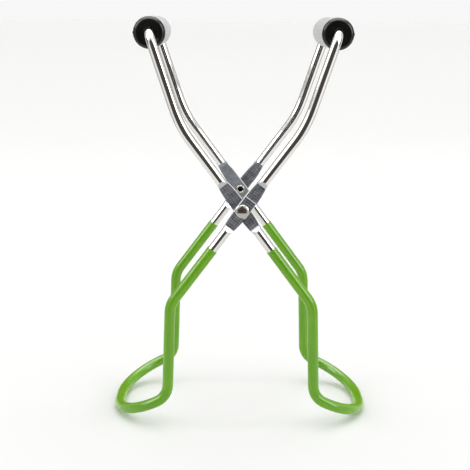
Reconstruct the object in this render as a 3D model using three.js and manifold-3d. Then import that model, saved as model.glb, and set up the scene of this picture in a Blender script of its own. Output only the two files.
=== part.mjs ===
/**
 * Wire jar lifter for home canning, standing on its two handle bows.
 *
 * Two bent-wire halves cross at two riveted pivots, one at the front and one at the rear. Each half
 * is one length of round wire: it starts inside one end of a jaw roller, comes down as the front
 * arm, turns through the handle bow at the bottom, and goes back up as the rear arm into the other
 * end of the same roller. At the pivots the wire is pressed into a leaf-shaped strip.
 *
 * Millimetres, +Z up, +Y away from the front. The origin is on the ground, midway between the arms.
 */
import * as THREE from "three";
import { mergeVertices } from "three/addons/utils/BufferGeometryUtils.js";
import Module from "manifold-3d";

// ---- driving dimensions (mm and degrees) ----

const DEG = Math.PI / 180;

// Round wire and the vinyl dipped over the handles.
const WIRE_R = 2.5;
const SIDES = 12;
const GRIP_BORE_R = 2.53;
const GRIP_R = 2.88;

// The half's outline, seen from the front: lengths between the corners of its centre line, and how
// far each length leans from the vertical.
const ARM_SPACING = 80.0;
const JAW_LENGTH = 48.4;
const JAW_LEAN = 18.7 * DEG;
const UPPER_LENGTH = 53.0;
const LOWER_LENGTH = 61.1;
const CROSS_LEAN = 36.7 * DEG;
const LEG_LENGTH = 49.1;
const LEG_LEAN = 1.6 * DEG;

// The bow is half an ellipse in a plane that falls away outwards, with a short straight end.
const BOW_REACH = 30.0;
const BOW_DROP = 24.5 * DEG;
const BOW_STRAIGHT = 8.0;

// Bend radii of the centre line.
const JAW_END_RADIUS = 6.0;
const JAW_BEND_RADIUS = 62.0;
const KNEE_RADIUS = 14.0;
const ANKLE_RADIUS = 10.0;

// Where the vinyl starts, measured down from the pivot.
const GRIP_START = 25.0;

// The pressed strip: distances from the pivot, positive towards the jaw.
const STRIP_HALF_THICKNESS = 1.0;
const STRIP_TOP_CREASE = 15.9;
const STRIP_BOTTOM_CREASE = -10.8;
const SHOULDER_LENGTH = 2.3;
const STRIP_GAP = 0.8;
const STRIP_SHIFT = STRIP_HALF_THICKNESS + STRIP_GAP / 2;

// The outer half's strip is level with itself from BEND_TOP to BEND_BOTTOM, the inner half's too.
const OUTER_BEND_TOP = 7.2;
const OUTER_BEND_BOTTOM = -2.3;
const INNER_BEND_TOP = 6.8;
const INNER_BEND_BOTTOM = -6.8;

// The strip's half width against the wire's radius, by distance from the pivot.
const LEAF = [
  [15.9, 1.12],
  [14.3, 1.23],
  [12.0, 1.35],
  [9.5, 1.42],
  [7.0, 1.45],
  [-2.3, 1.46],
  [-4.6, 1.43],
  [-7.2, 1.36],
  [-9.4, 1.25],
  [-10.8, 1.15],
];

// Rivets, their holes and the spacer washers.
const RIVET_SHANK_R = 1.9;
const RIVET_HOLE_R = 1.98;
const RIVET_HEAD_R = 3.4;
const RIVET_HEAD_RISE = 1.3;
const RIVET_ROLL_R = 2.5;
const RIVET_ROLL_RISE = 0.7;
const RIVET_EYE_R = 1.4;
const RIVET_EYE_DEPTH = 3.0;
const RIVET_SIDES = 20;
const WASHER_R = 3.2;
const WASHER_HOLE_R = 2.05;
const WASHER_THICKNESS = 0.5;

// Jaw rollers: a tube on two plugs that turn on the wire's ends.
const ROLLER_R = 8.1;
const ROLLER_BORE_R = 6.2;
const ROLLER_HALF_LENGTH = 31.0;
const CAP_FACE = 33.6;
const CAP_R = 8.1;
const CAP_ROUND = 2.2;
const CAP_PLUG_R = 6.1;
const CAP_PLUG_END = 25.0;
const CAP_HOLE_R = 2.6;
const STUB_END = 21.0;
const ROLLER_SIDES = 24;

const SEAT = 0.05;
const RING_STEP = 12 * DEG;
const BOW_STEPS = 8;

// ---- finishes ----

const FINISHES = {
  chrome: { color: 0xd6d8da, roughness: 0.12, metalness: 1.0 },
  vinyl: { color: 0x5ea61c, roughness: 0.3, metalness: 0.0 },
  sleeve: { color: 0xf1f1ee, roughness: 0.45, metalness: 0.0 },
  cap: { color: 0x121311, roughness: 0.35, metalness: 0.0 },
  rivet: { color: 0xbcbab5, roughness: 0.2, metalness: 1.0 },
  washer: { color: 0x8d9094, roughness: 0.4, metalness: 1.0 },
};

/**
 * The corners of one half's centre line as seen from the front, with the pivot at [0, 0].
 * The jaw is on the +x side and the handle on the -x side.
 */
function outline() {
  const jawBend = [Math.sin(CROSS_LEAN) * UPPER_LENGTH, Math.cos(CROSS_LEAN) * UPPER_LENGTH];
  const jaw = [
    jawBend[0] + Math.sin(JAW_LEAN) * JAW_LENGTH,
    jawBend[1] + Math.cos(JAW_LEAN) * JAW_LENGTH,
  ];
  const knee = [-Math.sin(CROSS_LEAN) * LOWER_LENGTH, -Math.cos(CROSS_LEAN) * LOWER_LENGTH];
  const ankle = [
    knee[0] - Math.sin(LEG_LEAN) * LEG_LENGTH,
    knee[1] - Math.cos(LEG_LEAN) * LEG_LENGTH,
  ];
  const bow = [
    ankle[0] - Math.cos(BOW_DROP) * BOW_REACH,
    ankle[1] - Math.sin(BOW_DROP) * BOW_REACH,
  ];
  return { jaw, jawBend, knee, ankle, bow };
}

const OUTLINE = outline();

// The vinyl stands on one of its flats, so that flat's distance sets the pivot's height.
const PIVOT_Z = -OUTLINE.bow[1] + GRIP_R * Math.cos(Math.PI / SIDES);
const HALF_SPACING = ARM_SPACING / 2;

/** A point of the outline in the part's frame; side is +1 for the outer half, -1 for the inner. */
function place(point, y, side) {
  return new THREE.Vector3(side * point[0], y, PIVOT_Z + point[1]);
}

/**
 * Rounds the corners of a polyline with circular arcs.
 * @param {THREE.Vector3[]} corners the polyline
 * @param {number[]} radii one radius for each corner, 0 where the line goes straight on
 * @returns {THREE.Vector3[]} the centre line's points, in order
 */
function roundedLine(corners, radii) {
  const points = [corners[0].clone()];
  for (let i = 1; i < corners.length - 1; i += 1) {
    if (radii[i] === 0) {
      points.push(corners[i].clone());
      continue;
    }
    const back = corners[i - 1].clone().sub(corners[i]).normalize();
    const ahead = corners[i + 1].clone().sub(corners[i]).normalize();
    const turn = Math.PI - back.angleTo(ahead);
    const reach = radii[i] * Math.tan(turn / 2);
    const start = corners[i].clone().addScaledVector(back, reach);
    const axis = new THREE.Vector3().crossVectors(ahead, back).normalize();
    const centre = start
      .clone()
      .addScaledVector(new THREE.Vector3().crossVectors(back, axis).normalize(), radii[i]);
    const steps = Math.max(2, Math.ceil(turn / RING_STEP));
    for (let k = 0; k <= steps; k += 1) {
      const spoke = start.clone().sub(centre);
      spoke.applyAxisAngle(axis, (turn * k) / steps);
      points.push(centre.clone().add(spoke));
    }
  }
  points.push(corners[corners.length - 1].clone());
  return points;
}

/**
 * Frames along a line of points, turned no more than the line itself turns.
 * @param {THREE.Vector3[]} points the centre line
 * @param {THREE.Vector3} firstSide the section's x direction at the first point
 * @returns {{at: THREE.Vector3, u: THREE.Vector3, v: THREE.Vector3}[]} one frame for each point
 */
function framesAlong(points, firstSide) {
  const frames = [];
  let side = firstSide.clone();
  let last = null;
  points.forEach((at, i) => {
    const into = i > 0 ? at.clone().sub(points[i - 1]).normalize() : null;
    const out = i < points.length - 1 ? points[i + 1].clone().sub(at).normalize() : null;
    const along = new THREE.Vector3();
    if (into) along.add(into);
    if (out) along.add(out);
    along.normalize();
    if (last) side.applyQuaternion(new THREE.Quaternion().setFromUnitVectors(last, along));
    side.addScaledVector(along, -side.dot(along)).normalize();
    frames.push({ at, u: side.clone(), v: new THREE.Vector3().crossVectors(along, side) });
    last = along;
    side = side.clone();
  });
  return frames;
}

/** One ring of section points around a frame. */
function ring(frame, section) {
  return section.map(([x, y]) =>
    frame.at.clone().addScaledVector(frame.u, x).addScaledVector(frame.v, y),
  );
}

/** A regular section of the given radius, its first corner turned by the given angle. */
function roundSection(radius, turned = 0) {
  return Array.from({ length: SIDES }, (_, i) => {
    const angle = (2 * Math.PI * i) / SIDES + turned;
    return [radius * Math.cos(angle), radius * Math.sin(angle)];
  });
}

/** The wire's section pressed to the given half thickness, widened and shifted sideways in depth. */
function pressedSection(half, widen, shift) {
  return roundSection(WIRE_R).map(([x, y]) => [
    x * widen,
    THREE.MathUtils.clamp(y, -half, half) + shift,
  ]);
}

/**
 * Joins rings into a closed solid.
 * @param {THREE.Vector3[][]} rings equal rings, in order
 * @param {boolean} looped true when the last ring joins the first, false when both ends are flat
 */
function solidFromRings(rings, looped) {
  const count = rings[0].length;
  const positions = rings.flat().flatMap((p) => [p.x, p.y, p.z]);
  const index = [];
  const spans = looped ? rings.length : rings.length - 1;
  for (let r = 0; r < spans; r += 1) {
    const here = r * count;
    const next = ((r + 1) % rings.length) * count;
    for (let i = 0; i < count; i += 1) {
      const j = (i + 1) % count;
      index.push(here + i, here + j, next + j, here + i, next + j, next + i);
    }
  }
  if (!looped) {
    const top = (rings.length - 1) * count;
    for (let i = 1; i < count - 1; i += 1) {
      index.push(0, i + 1, i);
      index.push(top, top + i, top + i + 1);
    }
  }
  const geometry = new THREE.BufferGeometry();
  geometry.setAttribute("position", new THREE.Float32BufferAttribute(positions, 3));
  geometry.setIndex(index);
  return geometry;
}

/** How far the strip stands off the wire's plane at a distance from the pivot, from 0 to 1. */
function standOff(s, bendTop, bendBottom) {
  if (s >= bendTop) return Math.max(0, (STRIP_TOP_CREASE - s) / (STRIP_TOP_CREASE - bendTop));
  if (s <= bendBottom) {
    return Math.max(0, (s - STRIP_BOTTOM_CREASE) / (bendBottom - STRIP_BOTTOM_CREASE));
  }
  return 1;
}

/** The leaf's width factor at a distance from the pivot. */
function leafWidth(s) {
  for (let i = 1; i < LEAF.length; i += 1) {
    const [fromS, fromW] = LEAF[i - 1];
    const [toS, toW] = LEAF[i];
    if (s <= fromS && s >= toS) return fromW + ((toW - fromW) * (fromS - s)) / (fromS - toS);
  }
  return 1;
}

/**
 * The stations of the pressed strip, from the jaw side down.
 * @returns {{s: number, half: number, widen: number, off: number}[]}
 */
function stripStations(bendTop, bendBottom) {
  const stations = [];
  const drop = WIRE_R - STRIP_HALF_THICKNESS;
  // Corners of the round section leave the shoulder's flat one after another.
  const heights = [WIRE_R, WIRE_R * Math.sin(60 * DEG), WIRE_R * Math.sin(30 * DEG)];
  const steps = heights.map((h) => ({ away: (SHOULDER_LENGTH * (h - STRIP_HALF_THICKNESS)) / drop, h }));
  steps.forEach(({ away, h }) => {
    stations.push({ s: STRIP_TOP_CREASE + away, half: h, widen: 1, off: 0 });
  });
  const level = new Set([...LEAF.map(([s]) => s), bendTop, bendBottom]);
  [...level]
    .sort((a, b) => b - a)
    .forEach((s) => {
      stations.push({
        s,
        half: STRIP_HALF_THICKNESS,
        widen: leafWidth(s),
        off: standOff(s, bendTop, bendBottom),
      });
    });
  steps.reverse().forEach(({ away, h }) => {
    stations.push({ s: STRIP_BOTTOM_CREASE - away, half: h, widen: 1, off: 0 });
  });
  return stations;
}

/** One arm's centre line, from the stub in the roller through the pivot and the ankle. */
function armLine(y, side) {
  const inner = Math.sign(y) * STUB_END;
  const corners = [
    place(OUTLINE.jaw, inner, side),
    place(OUTLINE.jaw, y, side),
    place(OUTLINE.jawBend, y, side),
    place([0, 0], y, side),
    place(OUTLINE.knee, y, side),
    place(OUTLINE.ankle, y, side),
    place(OUTLINE.bow, y, side),
  ];
  const radii = [0, JAW_END_RADIUS, JAW_BEND_RADIUS, 0, KNEE_RADIUS, ANKLE_RADIUS, 0];
  const line = roundedLine(corners, radii);
  line.pop();
  return line;
}

/** A quarter of the bow's ellipse, from the end of the ankle's bend to the straight end. */
function bowQuarter(y, side, ankleEnd) {
  const ankle = place(OUTLINE.ankle, y, side);
  const tip = place(OUTLINE.bow, y, side);
  const outwards = tip.clone().sub(ankle).normalize();
  const depth = HALF_SPACING - BOW_STRAIGHT / 2;
  const reach = tip.distanceTo(ankleEnd);
  const points = [];
  for (let k = 1; k <= BOW_STEPS; k += 1) {
    const angle = (k * Math.PI) / 2 / BOW_STEPS;
    const point = ankleEnd.clone().addScaledVector(outwards, reach * Math.sin(angle));
    point.y -= Math.sign(y) * depth * (1 - Math.cos(angle));
    points.push(point);
  }
  return points;
}

/** The whole centre line of one half, from the front stub round to the rear stub. */
function halfLine(side) {
  const front = armLine(-HALF_SPACING, side);
  const rear = armLine(HALF_SPACING, side);
  front.push(...bowQuarter(-HALF_SPACING, side, front[front.length - 1]));
  rear.push(...bowQuarter(HALF_SPACING, side, rear[rear.length - 1]));
  return [...front, ...rear.reverse()];
}

/** The section's x direction at the front stub: across the arm, in the arm's plane. */
function stubSide(side) {
  return new THREE.Vector3(Math.cos(JAW_LEAN), 0, -side * Math.sin(JAW_LEAN));
}

/** The wire of one half, pressed at both pivots; outward is +1 when its strips stand outwards. */
function wireGeometry(side, outward, bendTop, bendBottom) {
  const rings = [];
  const frames = framesAlong(halfLine(side), stubSide(side));
  const pivot = place([0, 0], 0, side);
  frames.forEach((frame) => {
    const atPivot = Math.hypot(frame.at.x - pivot.x, frame.at.z - pivot.z) < 1e-6;
    if (!atPivot) {
      rings.push(ring(frame, roundSection(WIRE_R)));
      return;
    }
    // The strip's stations lie along the arm; the rear arm meets them from below.
    const rear = frame.at.y > 0;
    const along = new THREE.Vector3(side * Math.sin(CROSS_LEAN), 0, Math.cos(CROSS_LEAN));
    const shift = outward * STRIP_SHIFT * Math.sign(frame.at.y) * Math.sign(frame.v.y);
    const stations = stripStations(bendTop, bendBottom);
    if (rear) stations.reverse();
    stations.forEach(({ s, half, widen, off }) => {
      const at = frame.at.clone().addScaledVector(along, s);
      rings.push(ring({ ...frame, at }, pressedSection(half, widen, shift * off)));
    });
  });
  return solidFromRings(rings, false);
}

/** The vinyl over one handle: a tube open at both ends that follows the wire. */
function gripGeometry(side) {
  const line = halfLine(side);
  const knee = place(OUTLINE.knee, 0, side);
  const low = line.filter((p) => p.z < knee.z + KNEE_RADIUS);
  const start = (y) =>
    place([-Math.sin(CROSS_LEAN) * GRIP_START, -Math.cos(CROSS_LEAN) * GRIP_START], y, side);
  const points = [start(-HALF_SPACING), ...low, start(HALF_SPACING)];
  const across = new THREE.Vector3(Math.cos(CROSS_LEAN), 0, -side * Math.sin(CROSS_LEAN));
  const frames = framesAlong(points, across);
  // Turned so that one flat of the section faces the ground along the bow's straight end.
  const down = new THREE.Vector3(0, 0, -1);
  const bow = frames[Math.floor(frames.length / 2)];
  const facing = Math.atan2(down.dot(bow.v), down.dot(bow.u));
  const turned = facing - Math.PI / SIDES;
  const outer = frames.map((frame) => ring(frame, roundSection(GRIP_R, turned)));
  const inner = frames.map((frame) => ring(frame, roundSection(GRIP_BORE_R, 0)));
  return solidFromRings([...outer, ...inner.reverse()], true);
}

/** A lathe solid about the Y axis; the profile is [radius, y] pairs that close on themselves. */
function turned(profile, sides) {
  const points = profile.map(([r, y]) => new THREE.Vector2(r, y));
  return new THREE.LatheGeometry(points, sides);
}

/** A roller's end cap, its outer face towards +Y. */
function capGeometry() {
  const rim = [];
  for (let k = 0; k <= 3; k += 1) {
    const angle = (k * Math.PI) / 6;
    rim.push([
      CAP_R - CAP_ROUND + CAP_ROUND * Math.cos(angle),
      CAP_FACE - CAP_ROUND + CAP_ROUND * Math.sin(angle),
    ]);
  }
  const seat = ROLLER_HALF_LENGTH + 0.3;
  const profile = [
    [CAP_HOLE_R, CAP_PLUG_END],
    [CAP_PLUG_R - 0.6, CAP_PLUG_END],
    [CAP_PLUG_R, CAP_PLUG_END + 0.6],
    [CAP_PLUG_R, seat],
    [CAP_R - 0.3, seat],
    [CAP_R, seat + 0.3],
    ...rim,
    [CAP_HOLE_R + 0.5, CAP_FACE],
    [CAP_HOLE_R, CAP_FACE - 0.5],
    [CAP_HOLE_R, CAP_PLUG_END],
  ];
  return turned(profile, ROLLER_SIDES);
}

/** A roller's sleeve, a plain tube with eased ends. */
function sleeveGeometry() {
  const ease = 0.4;
  const profile = [
    [ROLLER_BORE_R, -ROLLER_HALF_LENGTH],
    [ROLLER_R - ease, -ROLLER_HALF_LENGTH],
    [ROLLER_R, -ROLLER_HALF_LENGTH + ease],
    [ROLLER_R, ROLLER_HALF_LENGTH - ease],
    [ROLLER_R - ease, ROLLER_HALF_LENGTH],
    [ROLLER_BORE_R, ROLLER_HALF_LENGTH],
    [ROLLER_BORE_R, -ROLLER_HALF_LENGTH],
  ];
  return turned(profile, ROLLER_SIDES);
}

/** A pivot rivet about the Y axis, its domed head towards +Y and the strips' middle at y = 0. */
function rivetGeometry() {
  const stack = STRIP_SHIFT + STRIP_HALF_THICKNESS;
  const head = stack + SEAT;
  const roll = -stack - SEAT;
  const tip = roll - RIVET_ROLL_RISE;
  const dome = [];
  for (let k = 0; k <= 5; k += 1) {
    const angle = (k * Math.PI) / 10;
    dome.push([
      RIVET_HEAD_R * Math.cos(angle),
      head + 0.3 + (RIVET_HEAD_RISE - 0.3) * Math.sin(angle),
    ]);
  }
  dome[5][0] = 0;
  const profile = [
    [0, tip + RIVET_EYE_DEPTH],
    [RIVET_EYE_R, tip + RIVET_EYE_DEPTH - 0.5],
    [RIVET_EYE_R, tip + 0.25],
    [RIVET_EYE_R + 0.3, tip],
    [RIVET_ROLL_R - 0.35, tip],
    [RIVET_ROLL_R, tip + 0.3],
    [RIVET_ROLL_R, roll],
    [RIVET_SHANK_R, roll],
    [RIVET_SHANK_R, head],
    [RIVET_HEAD_R, head],
    ...dome,
  ];
  return turned(profile, RIVET_SIDES);
}

/** A spacer washer about the Y axis, centred on its own thickness. */
function washerGeometry() {
  const half = WASHER_THICKNESS / 2;
  return turned(
    [
      [WASHER_HOLE_R, -half],
      [WASHER_R, -half],
      [WASHER_R, half],
      [WASHER_HOLE_R, half],
      [WASHER_HOLE_R, -half],
    ],
    RIVET_SIDES,
  );
}

const wasm = await Module();
wasm.setup();

/** A closed geometry as a manifold-3d solid. */
function toSolid(geometry) {
  const plain = geometry.clone();
  plain.deleteAttribute("normal");
  plain.deleteAttribute("uv");
  const merged = mergeVertices(plain, 1e-4);
  return new wasm.Manifold(
    new wasm.Mesh({
      numProp: 3,
      vertProperties: merged.attributes.position.array,
      triVerts: new Uint32Array(merged.index.array),
    }),
  );
}

/** A manifold-3d solid as a geometry. */
function toGeometry(solid) {
  const mesh = solid.getMesh();
  const geometry = new THREE.BufferGeometry();
  geometry.setAttribute("position", new THREE.BufferAttribute(mesh.vertProperties, 3));
  geometry.setIndex(new THREE.BufferAttribute(mesh.triVerts, 1));
  geometry.computeVertexNormals();
  return geometry;
}

/** The wire with a rivet hole through each of its two strips. */
function drilledWire(side, outward, bendTop, bendBottom) {
  const length = 4 * HALF_SPACING;
  const drill = new THREE.CylinderGeometry(RIVET_HOLE_R, RIVET_HOLE_R, length, RIVET_SIDES);
  drill.translate(0, 0, PIVOT_Z);
  const wire = toSolid(wireGeometry(side, outward, bendTop, bendBottom));
  return toGeometry(wire.subtract(toSolid(drill)));
}

/** A named mesh in one of the finishes. */
function piece(name, geometry, finish) {
  const mesh = new THREE.Mesh(geometry, new THREE.MeshStandardMaterial(FINISHES[finish]));
  mesh.name = name;
  return mesh;
}

/** A jaw roller on its own axis, named for its half. */
function roller(half, side) {
  const group = new THREE.Group();
  group.position.copy(place(OUTLINE.jaw, 0, side));
  group.add(piece(`${half}_roller_sleeve`, sleeveGeometry(), "sleeve"));
  const rear = piece(`${half}_roller_cap_rear`, capGeometry(), "cap");
  const front = piece(`${half}_roller_cap_front`, capGeometry(), "cap");
  front.rotation.z = Math.PI;
  group.add(front, rear);
  return group;
}

/** One pivot's rivet and washer; y says which arm, and the head faces away from the middle. */
function pivot(end, y) {
  const group = new THREE.Group();
  group.position.set(0, y, PIVOT_Z);
  if (y < 0) group.rotation.z = Math.PI;
  const washer = piece(`spacer_washer_${end}`, washerGeometry(), "washer");
  washer.position.y = -STRIP_GAP / 2 + SEAT + WASHER_THICKNESS / 2;
  group.add(piece(`pivot_rivet_${end}`, rivetGeometry(), "rivet"), washer);
  return group;
}

const jarLifter = new THREE.Group();

const innerHalf = new THREE.Group();
innerHalf.add(
  piece("inner_frame_wire", drilledWire(-1, -1, INNER_BEND_TOP, INNER_BEND_BOTTOM), "chrome"),
  piece("inner_handle_grip", gripGeometry(-1), "vinyl"),
  roller("inner", -1),
);

const outerHalf = new THREE.Group();
outerHalf.add(
  piece("outer_frame_wire", drilledWire(1, 1, OUTER_BEND_TOP, OUTER_BEND_BOTTOM), "chrome"),
  piece("outer_handle_grip", gripGeometry(1), "vinyl"),
  roller("outer", 1),
);

jarLifter.add(innerHalf, outerHalf, pivot("front", -HALF_SPACING), pivot("rear", HALF_SPACING));

export default jarLifter;
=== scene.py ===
"""Wire jar lifter: chrome-plated arms, vinyl-dipped bows and turning jaw rollers.

Lengths in the classes are millimetres, as a maker writes them; MM turns them to metres where a
mesh is made. +Z is up, +Y runs from the front arms to the rear arms, and the ground is Z = 0.
"""

import logging
import math
from collections.abc import Sequence
from dataclasses import dataclass, field
from enum import Enum, IntEnum

import bpy
import numpy as np
from mathutils import Matrix, Quaternion, Vector


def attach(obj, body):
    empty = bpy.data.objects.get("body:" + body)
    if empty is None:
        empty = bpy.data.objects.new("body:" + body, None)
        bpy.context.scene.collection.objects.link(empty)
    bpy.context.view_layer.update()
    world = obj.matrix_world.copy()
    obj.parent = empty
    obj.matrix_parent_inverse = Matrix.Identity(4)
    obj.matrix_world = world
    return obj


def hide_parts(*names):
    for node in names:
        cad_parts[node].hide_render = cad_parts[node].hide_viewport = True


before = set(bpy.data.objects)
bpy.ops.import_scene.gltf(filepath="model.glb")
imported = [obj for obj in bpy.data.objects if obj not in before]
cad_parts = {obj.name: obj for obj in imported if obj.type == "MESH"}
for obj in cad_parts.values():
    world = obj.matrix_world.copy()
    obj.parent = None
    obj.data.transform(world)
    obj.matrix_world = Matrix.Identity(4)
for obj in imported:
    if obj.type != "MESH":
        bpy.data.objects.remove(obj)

MM = 0.001
LOG = logging.getLogger("jar_lifter")


class Half(Enum):
    """The two bent-wire halves, named for whose strips lie inside at the pivots."""

    INNER = "inner"
    OUTER = "outer"

    @property
    def side(self) -> int:
        """Which way this half's jaw lies along X."""
        return -1 if self is Half.INNER else 1

    @property
    def outward(self) -> int:
        """Which way this half's strips are set off at the pivots: out (1) or in (-1)."""
        return -1 if self is Half.INNER else 1


class End(Enum):
    """The front and rear of the lifter."""

    FRONT = "front"
    REAR = "rear"

    @property
    def sign(self) -> int:
        """Which way this end lies along Y."""
        return -1 if self is End.FRONT else 1


class WireFace(IntEnum):
    """The wire's material slots."""

    CHROME = 0
    PRESSED = 1
    PAINTED_HIGHLIGHT = 2
    LIT_INWARD = 3
    SHADED_SHOULDER = 4


# ---- node helpers ----


def linear(hex_colour: str) -> tuple[float, float, float, float]:
    """Turns an sRGB hex colour to linear.

    Args:
        hex_colour: Six hex digits, such as "5ea61c".

    Returns:
        Linear red, green, blue and an alpha of 1.
    """
    parts = [int(hex_colour[i : i + 2], 16) / 255 for i in (0, 2, 4)]
    r, g, b = (p / 12.92 if p <= 0.04045 else ((p + 0.055) / 1.055) ** 2.4 for p in parts)
    return (r, g, b, 1.0)


def add_node(
    tree: bpy.types.NodeTree,
    kind: str,
    settings: dict[str, object] | None = None,
    inputs: dict[str | int, object] | None = None,
) -> bpy.types.Node:
    """Adds one node with its settings, values and links.

    Args:
        tree: The tree it goes in.
        kind: The node's type name.
        settings: Properties set on the node itself.
        inputs: Values for its inputs by name or index; an output socket is linked instead.

    Returns:
        The new node.
    """
    node = tree.nodes.new(kind)
    for name, value in (settings or {}).items():
        setattr(node, name, value)
    for key, value in (inputs or {}).items():
        if isinstance(value, bpy.types.NodeSocket):
            tree.links.new(value, node.inputs[key])
        else:
            node.inputs[key].default_value = value
    return node


def ramp(
    node: bpy.types.Node, stops: Sequence[tuple[float, tuple[float, float, float, float]]]
) -> None:
    """Sets a colour ramp's stops.

    Args:
        node: The ramp node.
        stops: Positions and linear colours, in order.
    """
    elements = node.color_ramp.elements
    while len(elements) < len(stops):
        elements.new(0.5)
    for element, (position, colour) in zip(elements, stops):
        element.position = position
        element.color = colour


# ---- finishes ----


@dataclass(frozen=True)
class Coat:
    """A material while it is made, with the effects that the finishes share."""

    tree: bpy.types.NodeTree
    shader: bpy.types.Node

    def place(
        self, lean_deg: float = 0.0, stretch: Sequence[float] = (1, 1, 1)
    ) -> bpy.types.NodeSocket:
        """Object coordinates turned about Y and stretched.

        Args:
            lean_deg: The turn about Y.
            stretch: A factor for each axis after the turn.

        Returns:
            The vector output.
        """
        object_space = add_node(self.tree, "ShaderNodeTexCoord").outputs["Object"]
        turned = add_node(
            self.tree,
            "ShaderNodeMapping",
            inputs={"Vector": object_space, "Rotation": (0, math.radians(lean_deg), 0)},
        )
        return add_node(
            self.tree,
            "ShaderNodeMapping",
            inputs={"Vector": turned.outputs["Vector"], "Scale": tuple(stretch)},
        ).outputs["Vector"]

    def grain(
        self, size_mm: float, detail: float = 3.0, stretch: Sequence[float] = (1, 1, 1)
    ) -> bpy.types.NodeSocket:
        """A cloudy pattern in the piece's own space.

        Args:
            size_mm: The size of its patches.
            detail: How finely the patches break up.
            stretch: A factor for each axis; a small one draws the patches out along it.

        Returns:
            The pattern's value.
        """
        return add_node(
            self.tree,
            "ShaderNodeTexNoise",
            inputs={
                "Vector": self.place(stretch=stretch),
                "Scale": 1 / (size_mm * MM),
                "Detail": detail,
            },
        ).outputs["Fac"]

    def mottle(
        self, pattern: bpy.types.NodeSocket, tones: Sequence[tuple[float, str]], plain: str
    ) -> None:
        """Colours the surface by a pattern.

        Args:
            pattern: The pattern's value.
            tones: Pattern values and the sRGB colour at each, in order.
            plain: The colour that stands for the whole surface where no pattern can.
        """
        colours = add_node(self.tree, "ShaderNodeValToRGB", inputs={"Fac": pattern})
        ramp(colours, [(value, linear(tone)) for value, tone in tones])
        self.hold({"Base Color": linear(plain)})
        self.tree.links.new(colours.outputs["Color"], self.shader.inputs["Base Color"])

    def vary_gloss(self, pattern: bpy.types.NodeSocket, low: float, high: float) -> None:
        """Lets the roughness run from low to high with a pattern."""
        rough = add_node(
            self.tree,
            "ShaderNodeMapRange",
            inputs={"Value": pattern, "To Min": low, "To Max": high},
        )
        self.tree.links.new(rough.outputs["Result"], self.shader.inputs["Roughness"])

    def relief(self, pattern: bpy.types.NodeSocket, strength: float, depth_mm: float) -> None:
        """Raises the surface by a pattern."""
        bump = add_node(
            self.tree,
            "ShaderNodeBump",
            inputs={"Height": pattern, "Strength": strength, "Distance": depth_mm * MM},
        )
        self.tree.links.new(bump.outputs["Normal"], self.shader.inputs["Normal"])

    def hold(self, values: dict[str, object]) -> None:
        """Sets the shader's constant inputs."""
        for name, value in values.items():
            self.shader.inputs[name].default_value = value


@dataclass(frozen=True)
class Finish:
    """A surface finish that builds one material."""

    name: str

    def surface(self, coat: Coat) -> None:
        """Adds this finish's pattern and constants. Subclasses fill it in."""

    def build(self) -> bpy.types.Material:
        """Builds the material, once for each name.

        Returns:
            The material.
        """
        found = bpy.data.materials.get(self.name)
        if found:
            return found
        material = bpy.data.materials.new(self.name)
        material.use_nodes = True
        tree = material.node_tree
        shader = tree.nodes["Principled BSDF"]
        self.surface(Coat(tree, shader))
        material.diffuse_color = shader.inputs["Base Color"].default_value[:]
        return material


@dataclass(frozen=True)
class ChromePlate(Finish):
    """Bright chrome on drawn steel wire: a mirror, a little softened by buffing marks."""

    name: str = "chrome_plated_wire"
    tint: str = "dcdbd9"
    roughness: float = 0.06
    grain_mm: float = 1.2

    def surface(self, coat: Coat) -> None:
        """Adds buffing haze and the faint waviness of drawn wire."""
        haze = coat.grain(self.grain_mm * 6, detail=4.0)
        waves = coat.grain(self.grain_mm, detail=2.0)
        coat.vary_gloss(haze, self.roughness * 0.6, self.roughness * 1.5)
        coat.relief(waves, strength=0.05, depth_mm=0.05)
        coat.hold({"Base Color": linear(self.tint), "Metallic": 1.0})


@dataclass(frozen=True)
class PressedSteel(Finish):
    """Steel pressed between knurled dies: matt grey, with a fine square grid along the strip."""

    lean_deg: float = 0.0
    light: str = "9c9fa5"
    dark: str = "4c4e55"
    roughness: float = 0.45
    metallic: float = 0.7
    grid_depth: float = 1.0
    grid_tone: float = 0.17
    # The die's lines are about twice as far apart as the real ones, so that they still show.
    across_mm: float = 1.25
    along_mm: float = 1.6
    rub_mm: float = 3.0

    def surface(self, coat: Coat) -> None:
        """Adds the die's grid in colour and bump, and rubbed patches."""
        place = coat.place(self.lean_deg)
        axes = add_node(coat.tree, "ShaderNodeSeparateXYZ", inputs={0: place}).outputs
        grid: bpy.types.NodeSocket | float = 0.0
        for axis, spacing, weight in (("Z", self.across_mm, 0.7), ("X", self.along_mm, 0.4)):
            value: bpy.types.NodeSocket = axes[axis]
            for operation, inputs in (
                ("MULTIPLY", {1: 2 * math.pi / (spacing * MM)}),
                ("SINE", {}),
                ("MULTIPLY_ADD", {1: weight, 2: grid}),
            ):
                value = add_node(
                    coat.tree, "ShaderNodeMath", {"operation": operation}, {0: value, **inputs}
                ).outputs[0]
            grid = value
        rubbed = add_node(
            coat.tree,
            "ShaderNodeTexNoise",
            inputs={
                "Vector": place,
                "Scale": 1 / (self.rub_mm * MM),
                "Detail": 5.0,
                "Roughness": 0.7,
            },
        )
        shade = add_node(
            coat.tree,
            "ShaderNodeMath",
            {"operation": "MULTIPLY_ADD"},
            {0: grid, 1: self.grid_tone * self.grid_depth, 2: rubbed.outputs["Fac"]},
        )
        coat.mottle(shade.outputs[0], ((0.25, self.dark), (0.85, self.light)), self.light)
        coat.relief(grid, strength=0.3 * self.grid_depth, depth_mm=0.05)
        coat.hold({"Metallic": self.metallic, "Roughness": self.roughness})


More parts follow.
